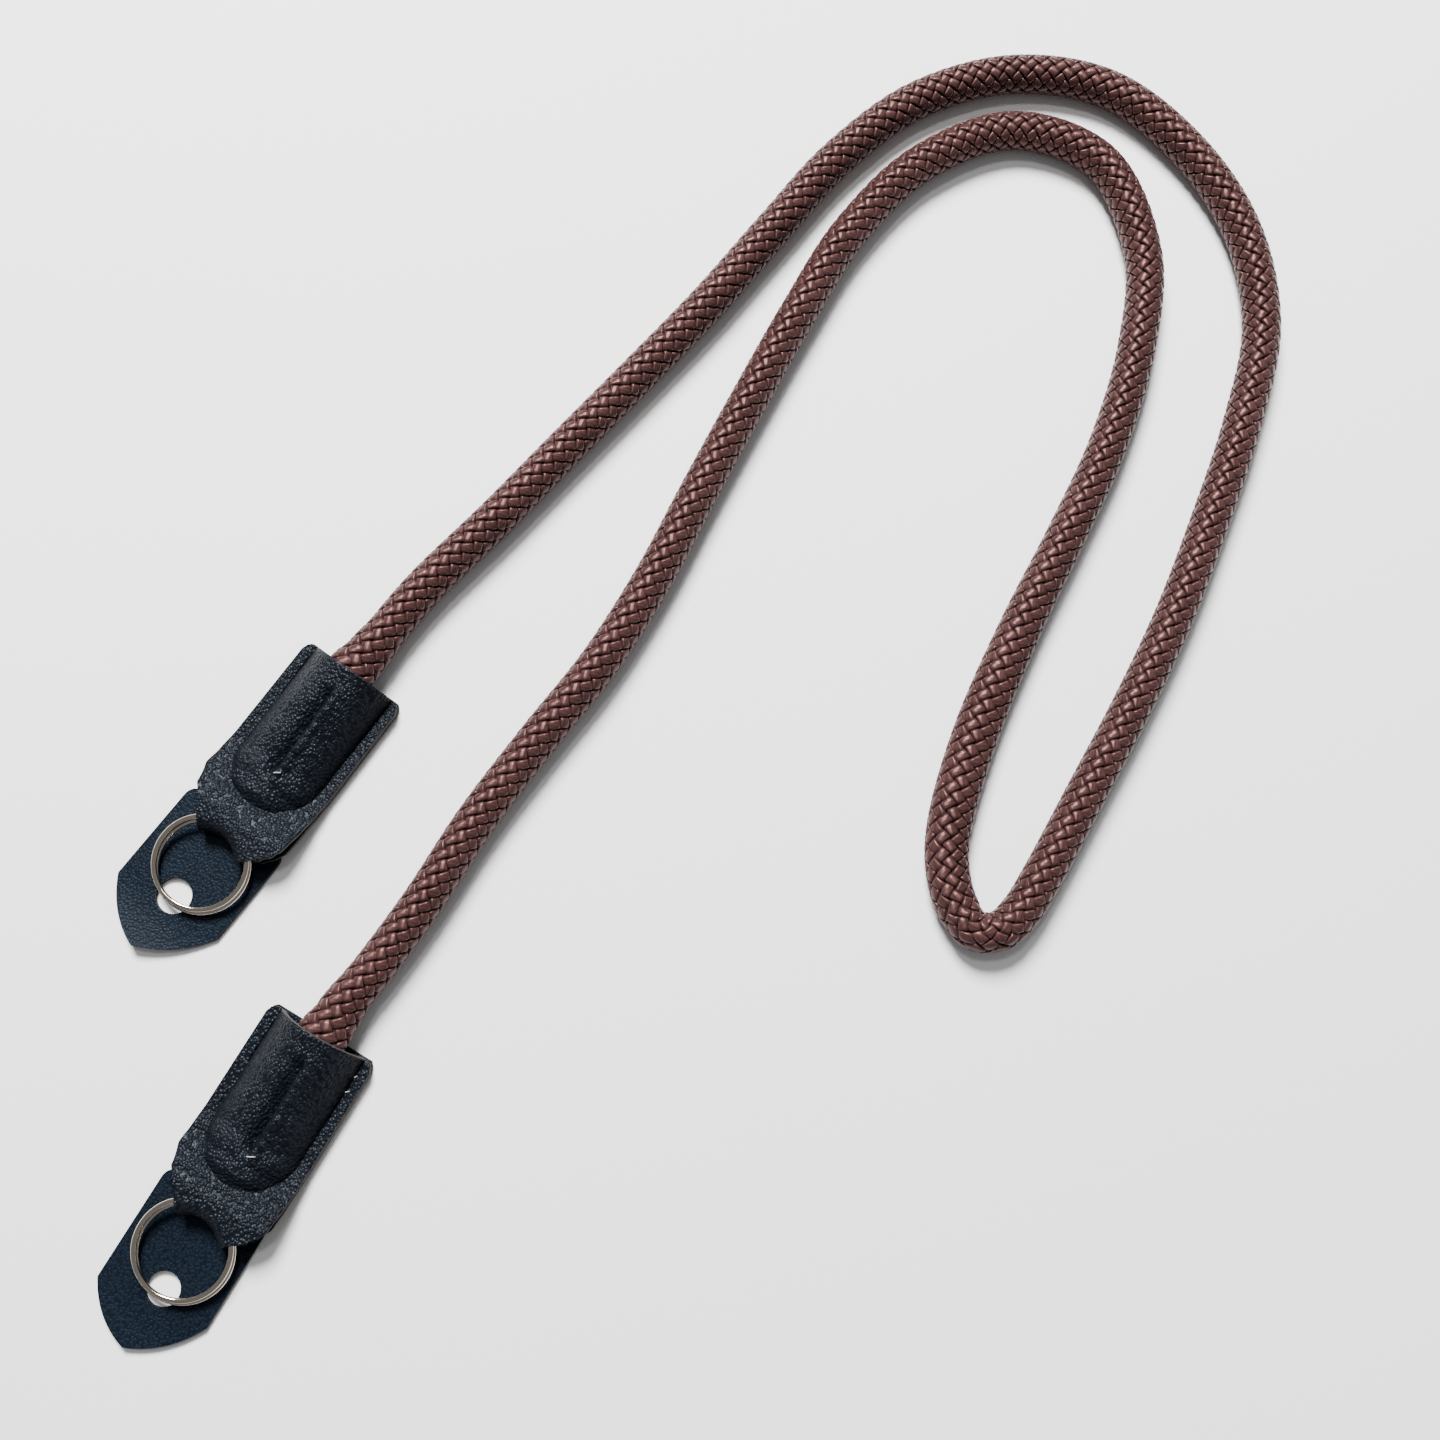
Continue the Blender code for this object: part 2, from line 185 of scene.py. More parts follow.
rope = {
    "diameter": 10.0,
    "strands": 8,             # each way round
    "pitch": 32.8,            # one turn of a strand
    "strandWidth": 2.15,
    "strandThickness": 1.6,
    "flatness": 0.42,         # 1 gives a round strand, less a flatter one
    "shoulder": 0.5,
    "sectionStart": 1.12,     # the section's first angle, and how far it runs round, in half turns
    "sectionSweep": 1.24,
    "wave": 0.62,             # how far a strand rises over and dips under the others
    "overShare": 0.16,        # how much longer a strand stays over than under
    "steepness": 4.0,
    "coreRadius": 3.75,
    "coreSides": 16,
    "coreStep": 1.5,
    "samplesPerTile": 11,
    "sectionSides": 7,
    "seat": 10.0,             # how far the braid goes into each pocket
    "lead": 10.3,             # where the route's first point stands outside the mouth
    "routeSteps": 16,
    "lineStep": 0.25,
    "pathEvery": 8,
    "slideShare": 0.6,        # how much of the table's shift the middle line takes
    "restsFrom": 20.0,        # from here on outside a mouth the rope rests on the floor
    "piecesEachWay": 2,
}

# the CAD rope's route, in millimetres on the floor
ropeRoute = [
    (-20.0, 92.0), (-18.9, 104.6), (-14.4, 129.4), (-10.4, 155.1), (-6.2, 181.3),
    (-2.2, 208.1), (0.6, 236.1), (3.8, 263.5), (12.6, 290.4), (30.3, 312.0),
    (54.0, 322.8), (81.1, 319.4), (105.4, 306.6), (122.8, 285.6), (132.0, 258.0),
    (137.8, 230.4), (142.4, 203.5), (145.0, 177.0), (146.4, 151.0), (147.6, 127.0),
    (147.5, 117.4), (145.6, 110.6), (140.4, 107.2), (133.9, 109.9), (127.6, 115.9),
    (122.6, 124.6), (116.0, 148.0), (111.2, 179.0), (108.6, 206.4), (105.2, 234.0),
    (98.0, 261.6), (85.9, 286.0), (63.3, 302.6), (39.4, 297.6), (23.6, 275.4),
    (18.0, 247.4), (19.0, 219.1), (21.4, 191.3), (24.1, 164.5), (27.1, 138.3),
    (28.0, 112.7), (26.2, 88.0), (25.0, 63.7), (25.6, 40.0), (25.0, 21.5),
]

# how the rope's section changes near a mouth, by the distance outside it
mouthSections = [
    {"station": -28.0, "halfWidth": 8.3, "halfHeight": 1.1, "centre": 2.9, "shift": 0.3},
    {"station": -18.0, "halfWidth": 8.1, "halfHeight": 2.1, "centre": 4.0, "shift": 0.5},
    {"station": -8.0, "halfWidth": 7.4, "halfHeight": 3.1, "centre": 5.0, "shift": 0.8},
    {"station": 0.0, "halfWidth": 6.3, "halfHeight": 4.1, "centre": 5.8, "shift": 1.0},
    {"station": 6.0, "halfWidth": 5.6, "halfHeight": 4.7, "centre": 5.2, "shift": 0.3},
    {"station": 14.0, "halfWidth": 5.0, "halfHeight": 5.0, "centre": 5.0, "shift": 0.0},
]

# the leg that the tight turn presses flat: where it is widest, how far that reaches and how much it does
pressedLeg = {"at": (116.5, 146.0), "reach": 42.0, "widen": 0.16, "lowering": 0.8, "fromMouth": 60.0}


def smoothRoute(points, count):
    # the same smooth curve as the CAD rope's
    line = []
    added = [2 * points[0] - points[1]] + points + [2 * points[-1] - points[-2]]
    for p0, p1, p2, p3 in zip(added, added[1:], added[2:], added[3:]):
        t1 = math.sqrt((p1 - p0).length)
        t2 = t1 + math.sqrt((p2 - p1).length)
        t3 = t2 + math.sqrt((p3 - p2).length)
        for i in range(count):
            t = t1 + (t2 - t1) * i / count
            a1 = p0 * ((t1 - t) / t1) + p1 * (t / t1)
            a2 = p1 * ((t2 - t) / (t2 - t1)) + p2 * ((t - t1) / (t2 - t1))
            a3 = p2 * ((t3 - t) / (t3 - t2)) + p3 * ((t - t2) / (t3 - t2))
            b1 = a1 * ((t2 - t) / t2) + a2 * (t / t2)
            b2 = a2 * ((t3 - t) / (t3 - t1)) + a3 * ((t - t1) / (t3 - t1))
            line.append(b1 * ((t2 - t) / (t2 - t1)) + b2 * ((t - t1) / (t2 - t1)))
    line.append(points[-1].copy())
    return line


def layRope(step):
    # the rope's middle line at even steps, with the section's size at each one
    leads = []
    for end in endPlaces.values():
        rest = [Vector((end["ropeShift"], away, 0)) for away in (-rope["seat"], 0.0, rope["lead"])]
        leads.append([(endMatrix(end) @ point).xy for point in rest])
    route = leads[0] + [Vector(point) for point in ropeRoute] + leads[1][::-1]
    line = np.array([tuple(point) for point in smoothRoute(route, rope["routeSteps"])])
    runs = np.concatenate([[0], np.cumsum(np.linalg.norm(np.diff(line, axis=0), axis=1))])
    count = int(round(runs[-1] / step))
    at = np.linspace(0, runs[-1], count + 1)
    x = np.interp(at, runs, line[:, 0])
    y = np.interp(at, runs, line[:, 1])
    away = np.minimum(at, runs[-1] - at) - rope["seat"]
    halfWidth = tableValue(mouthSections, away, "halfWidth")
    halfHeight = tableValue(mouthSections, away, "halfHeight")
    centre = tableValue(mouthSections, away, "centre")
    shift = tableValue(mouthSections, away, "shift")
    secondHalf = at > runs[-1] / 2
    fromLeg = np.hypot(x - pressedLeg["at"][0], y - pressedLeg["at"][1])
    pressed = np.exp(-(fromLeg / pressedLeg["reach"]) ** 2)
    pressed = pressed * secondHalf * (away > pressedLeg["fromMouth"]) * pressedLeg["widen"]
    halfWidth = halfWidth * (1 + pressed)
    halfHeight = halfHeight * (1 - pressed * pressedLeg["lowering"])
    centre = np.where(away > rope["restsFrom"], halfHeight, centre)
    tangent = np.stack([np.gradient(x), np.gradient(y)], 1)
    tangent /= np.linalg.norm(tangent, axis=1)[:, None]
    side = np.stack([tangent[:, 1], -tangent[:, 0]], 1)
    slide = np.where(secondHalf, shift, -shift)
    x = x + side[:, 0] * slide * rope["slideShare"]
    y = y + side[:, 1] * slide * rope["slideShare"]
    return {
        "at": at, "x": x, "y": y, "z": centre, "side": side,
        "halfWidth": halfWidth, "halfHeight": halfHeight,
    }


laid = layRope(rope["lineStep"])
ropeLength = laid["at"][-1]


def onRope(at, angle, depth):
    # a point at a distance along the rope, an angle round it and a depth under its surface, in metres
    x = np.interp(at, laid["at"], laid["x"])
    y = np.interp(at, laid["at"], laid["y"])
    z = np.interp(at, laid["at"], laid["z"])
    sideX = np.interp(at, laid["at"], laid["side"][:, 0])
    sideY = np.interp(at, laid["at"], laid["side"][:, 1])
    out = (np.interp(at, laid["at"], laid["halfWidth"]) - depth) * np.cos(angle)
    up = (np.interp(at, laid["at"], laid["halfHeight"]) - depth) * np.sin(angle)
    return np.stack([x + sideX * out, y + sideY * out, z + up], 1) * mm


def strandMesh(name, index, way):
    # one arched strand that winds one way and passes over and under those of the other way
    tiles = round(ropeLength * rope["strands"] / rope["pitch"])
    tile = ropeLength / tiles
    pitch = tile * rope["strands"]
    radius = rope["diameter"] / 2
    halfWide = rope["strandWidth"] / 2
    halfThick = rope["strandThickness"] / 2
    # the strand lies at an angle, so its width goes partly along and partly round
    lean = math.atan(2 * math.pi * (radius - halfThick) / pitch)

    def place(u, v):
        at = v * ropeLength
        crossing = np.cos(2 * math.pi * at / tile) * way
        lift = np.tanh(rope["steepness"] * (crossing + rope["overShare"]))
        around = 2 * math.pi * (index / rope["strands"] + way * at / pitch)
        turn = math.pi * (rope["sectionStart"] - rope["sectionSweep"] * u)
        across = halfWide * np.sign(np.cos(turn)) * np.abs(np.cos(turn)) ** rope["flatness"]
        bulge = np.sign(np.sin(turn)) * np.abs(np.sin(turn)) ** rope["shoulder"]
        depth = rope["wave"] * (1 - lift) + halfThick * (1 - bulge)
        along = at - way * across * math.sin(lean)
        angle = around + across * math.cos(lean) / (radius - halfThick)
        return onRope(np.clip(along, 0, ropeLength), angle, depth)

    rows = tiles * rope["samplesPerTile"]
    mesh = gridMesh(name, rope["sectionSides"], rows, place, (1.0, ropeLength / math.cos(lean)))
    mesh.shade_smooth()
    return mesh


def makeRope():
    core = gridMesh(
        "ropeCore", rope["coreSides"], int(ropeLength / rope["coreStep"]),
        lambda u, v: onRope(v * ropeLength, 2 * math.pi * u, rope["diameter"] / 2 - rope["coreRadius"]),
        (1.0, ropeLength),
    )
    closeTube(core)
    coreObject = addObject("ropeCore", core)
    braids = []
    each = rope["strands"] // rope["piecesEachWay"]
    for way, label in ((1, "Right"), (-1, "Left")):
        for part in range(rope["piecesEachWay"]):
            name = f"braid{label}{part + 1}"
            meshes = [strandMesh("strand", index, way) for index in range(part * each, (part + 1) * each)]
            braids.append(addObject(name, joinMeshes(name, meshes)))
    return coreObject, braids


ropeCore, ropeBraids = makeRope()
print("rope braided,", len(ropeBraids), "pieces,", round(ropeLength / 1000, 3), "m")


# Leather pockets: one strip each, over the rope's end, round the ring and back underneath

pocket = {
    "leather": 1.3, "gap": 0.3, "width": 28.8, "tongueWidth": 22.2, "tongueShift": 0.3,
    "tongueHeight": 8.8, "tongueEnd": 0.58, "grooveDepth": 1.75, "grooveLeft": 2.3, "grooveRight": 0.7,
    "lipHeight": 0.60, "lipPlace": 1.4, "lipWidth": 0.85, "rimCurl": 0.35, "rimWidth": 2.6,
    "setback": 0.3, "dip": 0.4, "foldRadius": 2.6, "foldToRing": 11.25, "padSeat": 1.7,
    "crease": 0.10, "creasePlace": 1.04, "creaseWidth": 0.07,
    "roundness": 2.4, "fullness": 0.78, "endFullness": 0.25, "columns": 88, "rows": 200,
    "frontShare": 0.58, "foldShare": 0.10,    # how the rows are shared out
    "stripLength": 108.0,
}

# the leather's uneven forms: how strong each is, and how fast it comes and goes along the pocket
leatherWaves = {
    "pucker": 0.45, "puckerRate": 1.9, "puckerSlowRate": 0.8, "puckerStart": 1.3,
    "lipSway": 0.25, "lipRate": 1.1,
    "rimSteady": 0.7, "rimRipple": 0.3, "rimRate": 1.5, "rimSlowRate": 0.6,
    "leftRim": 0.45, "rimRise": 12.0, "rimEnd": 0.8, "rimFall": 5.0,
    "slowBumps": 0.03, "slowScale": 210.0, "fineBumps": 0.02, "fineScale": 620.0,
    "bumpsFrom": 2.6, "bumpsOver": 2.0,
}
pocketOutline = [
    {"station": 0.000, "left": 0.90, "right": 0.91},
    {"station": 0.020, "left": 0.96, "right": 0.97},
    {"station": 0.050, "left": 0.99, "right": 1.01},
    {"station": 0.760, "left": 0.99, "right": 1.02},
    {"station": 0.865, "left": 0.87, "right": 1.00},
    {"station": 0.910, "left": 0.75, "right": 0.94},
    {"station": 0.957, "left": 0.62, "right": 0.82},
    {"station": 1.000, "left": 0.50, "right": 0.62},
]
tongueHeights = [
    {"station": 0.00, "height": 1.00, "groove": 0.00},
    {"station": 0.11, "height": 0.91, "groove": 0.10},
    {"station": 0.18, "height": 0.85, "groove": 0.85},
    {"station": 0.40, "height": 0.67, "groove": 1.00},
    {"station": 0.60, "height": 0.53, "groove": 1.00},
    {"station": 0.68, "height": 0.50, "groove": 0.00},
    {"station": 1.00, "height": 0.45, "groove": 0.00},
]
layerRises = [
    {"station": 0.00, "back": 0.0, "front": 0.00},
    {"station": 0.60, "back": 0.0, "front": 0.00},
    {"station": 0.72, "back": 0.4, "front": 0.22},
    {"station": 0.82, "back": 1.0, "front": 0.55},
    {"station": 0.90, "back": 1.0, "front": 0.84},
    {"station": 0.97, "back": 1.0, "front": 1.00},
    {"station": 1.00, "back": 1.0, "front": 1.00},
]


def tongueRelief(x, y, end):
    # how high the leather stands over the rope's end, with the sewn groove down its middle
    half = pocket["tongueWidth"] / 2
    length = end["pocketLength"]
    past = np.maximum(0.0, y - length * pocket["tongueEnd"])
    spread = np.hypot(x - pocket["tongueShift"], past) / half
    fullness = pocket["fullness"] + pocket["endFullness"] * np.clip(past / half, 0, 1)
    arch = np.maximum(0.0, 1 - np.minimum(spread, 1.0) ** pocket["roundness"]) ** fullness
    side = x - end["grooveShift"]
    soft = np.where(side < 0, pocket["grooveLeft"], pocket["grooveRight"])
    groove = pocket["grooveDepth"] * np.exp(-(side / soft) ** 2)
    quick = leatherWaves["pucker"] * np.sin(y * leatherWaves["puckerRate"] + end["seed"])
    pucker = 1 + quick * np.sin(y * leatherWaves["puckerSlowRate"] + leatherWaves["puckerStart"])
    sway = leatherWaves["lipSway"] * np.sin(y * leatherWaves["lipRate"] + end["seed"] * 2)
    lip = np.exp(-((side - (pocket["lipPlace"] + sway)) / pocket["lipWidth"]) ** 2)
    lip = pocket["lipHeight"] * lip * pucker
    relief = pocket["tongueHeight"] * tableValue(tongueHeights, y / length, "height") * arch
    relief -= (groove - lip) * tableValue(tongueHeights, y / length, "groove") * arch
    foot = np.exp(-((spread - pocket["creasePlace"]) / pocket["creaseWidth"]) ** 2)
    return relief - pocket["crease"] * foot


def pocketPlace(end):
    length = end["pocketLength"]
    radius = pocket["foldRadius"]
    leather = pocket["leather"]
    foldHeight = pocket["padSeat"] + leather / 2 + radius
    ringY = length + pocket["foldToRing"] - radius - leather / 2

    def place(u, v):
        column = u * 2 - 1
        edge = column * pocket["width"] / 2
        neckShare = np.where(column < 0, pocketOutline[-1]["left"], pocketOutline[-1]["right"])
        neck = edge * neckShare
        along = np.sqrt(pocket["foldToRing"] ** 2 - neck ** 2)
        foldStart = pocket["frontShare"]
        foldEnd = foldStart + pocket["foldShare"]
        front = v < foldStart
        back = v > foldEnd
        value = np.where(front, v / foldStart, np.where(back, (1 - v) / (1 - foldEnd), 1.0))
        left = tableValue(pocketOutline, value, "left")
        right = tableValue(pocketOutline, value, "right")
        x = edge * np.where(column < 0, left, right)
        dip = pocket["dip"] * np.maximum(0.0, 1 - (2 * x / pocket["tongueWidth"]) ** 2)
        first = np.where(front, pocket["setback"] + dip, 0.0)
        y = first + value * (ringY - along - first)
        share = y / (ringY - pocket["foldToRing"])
        backZ = leather / 2 + pocket["padSeat"] * tableValue(layerRises, share, "back")
        low = leather / 2 + leather + pocket["gap"]
        rise = (foldHeight + radius - low) * tableValue(layerRises, share, "front")
        fromRim = pocket["width"] / 2 * (1 - np.abs(column))
        rim = np.clip(1 - fromRim / pocket["rimWidth"], 0, 1) ** 2
        rim = rim * np.clip(share * leatherWaves["rimRise"], 0, 1)
        ripple = np.sin(y * leatherWaves["rimRate"] + end["seed"] * 2 + np.sign(column))
        ripple = ripple * np.sin(y * leatherWaves["rimSlowRate"])
        ripple = leatherWaves["rimSteady"] + leatherWaves["rimRipple"] * ripple
        rim = rim * ripple * pocket["rimCurl"] * np.where(column > 0, 1.0, leatherWaves["leftRim"])
        rim = rim * np.clip((leatherWaves["rimEnd"] - share) * leatherWaves["rimFall"], 0, 1)
        frontZ = low + rise + tongueRelief(x, y, end) + rim
        z = np.where(front, frontZ, backZ)
        angle = math.pi / 2 - math.pi * np.clip((v - foldStart) / pocket["foldShare"], 0, 1)
        pull = 1 - radius * np.cos(angle) / pocket["foldToRing"]
        fold = ~front & ~back
        x = np.where(fold, neck * pull, x)
        y = np.where(fold, ringY - along * pull, y)
        z = np.where(fold, foldHeight + radius * np.sin(angle), z)
        return layAt(end, np.stack([x, -y, z], 1))

    return place


def makePocket(side, end):
    name = "pocketLeather" + side.capitalize()
    size = (pocket["width"], pocket["stripLength"])
    mesh = gridMesh(name, pocket["columns"], pocket["rows"], pocketPlace(end), size)
    points = readMesh(mesh)
    uneven = noiseField(points, leatherWaves["slowScale"], end["seed"]) * leatherWaves["slowBumps"]
    uneven += noiseField(points, leatherWaves["fineScale"], end["seed"] + 5) * leatherWaves["fineBumps"]
    high = (points[:, 2] - leatherWaves["bumpsFrom"] * mm) / (leatherWaves["bumpsOver"] * mm)
    points[:, 2] += uneven * np.clip(high, 0, 1) * mm
    writeMesh(mesh, points)
    shape = bmesh.new()
    shape.from_mesh(mesh)
    bmesh.ops.recalc_face_normals(shape, faces=shape.faces)
    shape.to_mesh(mesh)
    shape.free()
    mesh.shade_smooth()
    piece = addObject(name, mesh)
    wall = piece.modifiers.new("wall", 'SOLIDIFY')
    wall.thickness = pocket["leather"] * mm
    wall.offset = 0.0
    wall.use_even_offset = True
    wall.material_offset_rim = 1
    return piece


pockets = {side: makePocket(side, end) for side, end in endPlaces.items()}
print("pockets folded")


# Protector pads

pad = {
    "thickness": 1.4, "overlap": 5.6, "projection": 32.6, "corner": 3.2, "bulge": 1.7,
    "holeToTip": 14.7, "liftStart": 12.2, "bevel": 0.28, "bevelSegments": 3, "bevelAngle": 50.0,
    "sharpAngle": 30.0, "cornerSteps": 8, "edgeSteps": 14, "holeSteps": 48, "liftSteps": 12,
}


def bowedLine(start, stop, bulge, count):
    # points from start up to stop on a line that bows to the right of the way
    first = Vector(start)
    chord = Vector(stop) - first
    side = Vector((chord.y, -chord.x)).normalized()
    shares = [i / count for i in range(count)]
    return [first + chord * share + side * bulge * 4 * share * (1 - share) for share in shares]


def padOutline(end):
    half = end["padWidth"] / 2
    top = -(end["pocketLength"] - pad["overlap"])
    tip = -(end["pocketLength"] + pad["projection"])
    points = []
    for x, start in ((half - pad["corner"], 0.0), (-half + pad["corner"], 90.0)):
        for i in range(pad["cornerSteps"] + 1):
            angle = math.radians(start + 90.0 * i / pad["cornerSteps"])
            points.append(Vector((
                x + pad["corner"] * math.cos(angle),
                top - pad["corner"] + pad["corner"] * math.sin(angle),
            )))
    left = (-half, tip + end["cornerLeft"])
    right = (half, tip + end["cornerRight"])
    points += bowedLine(left, (0.0, tip), pad["bulge"], pad["edgeSteps"])
    points += bowedLine((0.0, tip), right, pad["bulge"], pad["edgeSteps"])
    points.append(Vector(right))
    return points


def makePad(side, end):
    name = "padLeather" + side.capitalize()
    tip = -(end["pocketLength"] + pad["projection"])
    curve = bpy.data.curves.new(name, 'CURVE')
    curve.dimensions = '2D'
    curve.fill_mode = 'BOTH'
    curve.extrude = pad["thickness"] / 2
    hole = []
    for i in range(pad["holeSteps"]):
        angle = 2 * math.pi * i / pad["holeSteps"]
        hole.append(Vector((
            end["holeDiameter"] / 2 * math.cos(angle) + end["holeShift"],
            end["holeDiameter"] / 2 * math.sin(angle) + tip + pad["holeToTip"],
        )))
    for points in (padOutline(end), hole):
        spline = curve.splines.new('POLY')
        spline.points.add(len(points) - 1)
        for target, point in zip(spline.points, points):
            target.co = (point.x, point.y, 0, 1)
        spline.use_cyclic_u = True
    guide = addObject(name + "Guide", curve)
    bpy.context.view_layer.update()
    graph = bpy.context.evaluated_depsgraph_get()
    mesh = bpy.data.meshes.new_from_object(guide.evaluated_get(graph))
    bpy.data.objects.remove(guide)
    mesh.name = name
    shape = bmesh.new()
    shape.from_mesh(mesh)
    bmesh.ops.remove_doubles(shape, verts=shape.verts, dist=0.005)
    for i in range(pad["liftSteps"]):
        everything = shape.verts[:] + shape.edges[:] + shape.faces[:]
        cut = tip + pad["liftStart"] * (1 - i / pad["liftSteps"])
        bmesh.ops.bisect_plane(shape, geom=everything, dist=0.0001, plane_co=(0, cut, 0), plane_no=(0, 1, 0))
    bmesh.ops.dissolve_degenerate(shape, dist=0.01, edges=shape.edges)
    bmesh.ops.recalc_face_normals(shape, faces=shape.faces)
    shape.to_mesh(mesh)
    shape.free()
    points = readMesh(mesh)
    share = np.maximum(0.0, (pad["liftStart"] + tip - points[:, 1]) / pad["liftStart"])
    points[:, 2] += pad["thickness"] / 2 + end["tipLift"] * share ** 2
    turn = math.radians(end["padTurn"])
    x = points[:, 0].copy()
    y = points[:, 1] + end["pocketLength"]
    points[:, 0] = x * math.cos(turn) - y * math.sin(turn) + end["padShift"]
    points[:, 1] = x * math.sin(turn) + y * math.cos(turn) - end["pocketLength"]
    writeMesh(mesh, layAt(end, points))
    mesh.shade_smooth()
    mesh.set_sharp_from_angle(angle=math.radians(pad["sharpAngle"]))
    piece = addObject(name, mesh)
    edge = piece.modifiers.new("edge", 'BEVEL')
    edge.width = pad["bevel"] * mm
    edge.segments = pad["bevelSegments"]
    edge.limit_method = 'ANGLE'
    edge.angle_limit = math.radians(pad["bevelAngle"])
    edge.material = 1
    return piece


pads = {side: makePad(side, end) for side, end in endPlaces.items()}
print("pads cut")


# Split rings

ring = {
    "diameter": 24.2, "wireWidth": 1.9, "wireThickness": 1.05, "rounding": 0.5, "coilGap": 0.1, "slim": 0.6,
    "lift": 0.25, "crossover": 30.0, "endGap": 2.0, "slip": 0.36, "slipHeading": 45.0,
    "segments": 300, "sectionSides": 24, "sharpAngle": 50.0, "girth": 6.0, "wireLength": 140.0,
}


def makeRing(side, end):
    # two turns of flat wire that cross over inside the fold
    pitch = ring["wireThickness"] + ring["coilGap"]
    wireMiddle = (ring["diameter"] - ring["wireWidth"]) / 2
    first = ring["crossover"] / 2 + ring["endGap"]
    last = 720.0 - first
    flatX = (ring["wireWidth"] - ring["slim"]) / 2 - ring["rounding"]
    flatZ = ring["wireThickness"] / 2 - ring["rounding"]
    foldHeight = pocket["padSeat"] + pocket["leather"] / 2 + pocket["foldRadius"]
    held = foldHeight + ring["lift"]
    resting = pocket["padSeat"] + pitch / 2 + ring["wireThickness"] / 2 + ring["lift"]
    tilt = math.asin((held - resting) / (2 * wireMiddle))
    reach = pocket["foldToRing"] - pocket["foldRadius"] - pocket["leather"] / 2

    def place(u, v):
        degrees = first + (last - first) * v
        share = np.clip((degrees - 360.0 + ring["crossover"] / 2) / ring["crossover"], 0, 1)
        raised = share * share * (3 - 2 * share) - 0.5
        height = pitch * raised
        turn = 2 * math.pi * u
        out = ring["rounding"] * np.cos(turn) + flatX * np.sign(np.round(np.cos(turn), 6))
        up = ring["rounding"] * np.sin(turn) + flatZ * np.sign(np.round(np.sin(turn), 6))
        angle = np.radians(degrees + 90.0)
        slip = math.radians(ring["slipHeading"] - end["turn"])
        x = (wireMiddle + out) * np.cos(angle) - 2 * raised * ring["slip"] * math.sin(slip)
        y = (wireMiddle + out) * np.sin(angle) + 2 * raised * ring["slip"] * math.cos(slip)
        z = height + up
        tiltedY = y * math.cos(tilt) - z * math.sin(tilt)
        tiltedZ = y * math.sin(tilt) + z * math.cos(tilt)
        return layAt(end, np.stack([
            x,
            tiltedY - end["pocketLength"] - reach,
            tiltedZ + (held + resting) / 2,
        ], 1))

    name = "steelRing" + side.capitalize()
    size = (ring["girth"], ring["wireLength"])
    mesh = gridMesh(name, ring["sectionSides"], ring["segments"], place, size)
    closeTube(mesh)
    mesh.set_sharp_from_angle(angle=math.radians(ring["sharpAngle"]))
    return addObject(name, mesh)


rings = {side: makeRing(side, end) for side, end in endPlaces.items()}
print("rings wound")


# Loose thread ends that stand out of the sewing

stitch = {"diameter": 0.28, "rise": 0.28, "steps": 10, "sides": 8, "above": 2.0}
threadEnds = {
    "left": [{"x": 2.0, "y": 30.6, "heading": 35.0, "length": 1.7}],
    "right": [
        {"x": 2.25, "y": 30.8, "heading": 28.0, "length": 2.0},
        {"x": 12.1, "y": 4.7, "heading": 60.0, "length": 0.9},
        {"x": 12.3, "y": 8.5, "heading": 40.0, "length": 1.1},
    ],
}


def makeThreads(side, end):
    # short arcs of thread on the top of the leather
    leather = readMesh(pockets[side].data)
    leather = leather[leather[:, 2] > stitch["above"] * mm]
    tubes = []
    for bit in threadEnds[side]:
        heading = math.radians(bit["heading"])
        way = (math.cos(heading), math.sin(heading))
        middle = layAt(end, np.array([[bit["x"], -bit["y"], 0.0]]))[0]
        near = np.argmin(np.hypot(leather[:, 0] - middle[0], leather[:, 1] - middle[1]))
        top = leather[near, 2] / mm + pocket["leather"] / 2

        def place(u, v):
            run = (v - 0.5) * bit["length"]
            turn = 2 * math.pi * u
            out = stitch["diameter"] / 2 * np.cos(turn)
            up = stitch["diameter"] / 2 * np.sin(turn) + stitch["rise"] * np.sin(math.pi * v)
            x = bit["x"] + run * way[0] - out * way[1]
            y = -bit["y"] + run * way[1] + out * way[0]
            return layAt(end, np.stack([x, y, top + up], 1))

        tube = gridMesh("threadEnd", stitch["sides"], stitch["steps"], place, (1.0, bit["length"]))
        closeTube(tube)
        tubes.append(tube)
    name = "threadEnds" + side.capitalize()
    return addObject(name, joinMeshes(name, tubes))


threads = {side: makeThreads(side, end) for side, end in endPlaces.items()}
print("thread ends laid")


# Materials

def newNode(tree, kind, place, **values):
    node = tree.nodes.new(kind)
    node.location = place
    for key, value in values.items():
        if hasattr(node, key):
            setattr(node, key, value)
        else:
            node.inputs[key.replace("_", " ")].default_value = value
    return node


def newMaterial(name, colour, roughness, metallic=0.0):
    material = bpy.data.materials.new(name)
    material.use_nodes = True
    shader = material.node_tree.nodes["Principled BSDF"]
    shader.inputs["Base Color"].default_value = (*colour, 1)
    shader.inputs["Roughness"].default_value = roughness
    shader.inputs["Metallic"].default_value = metallic
    return material, material.node_tree, shader


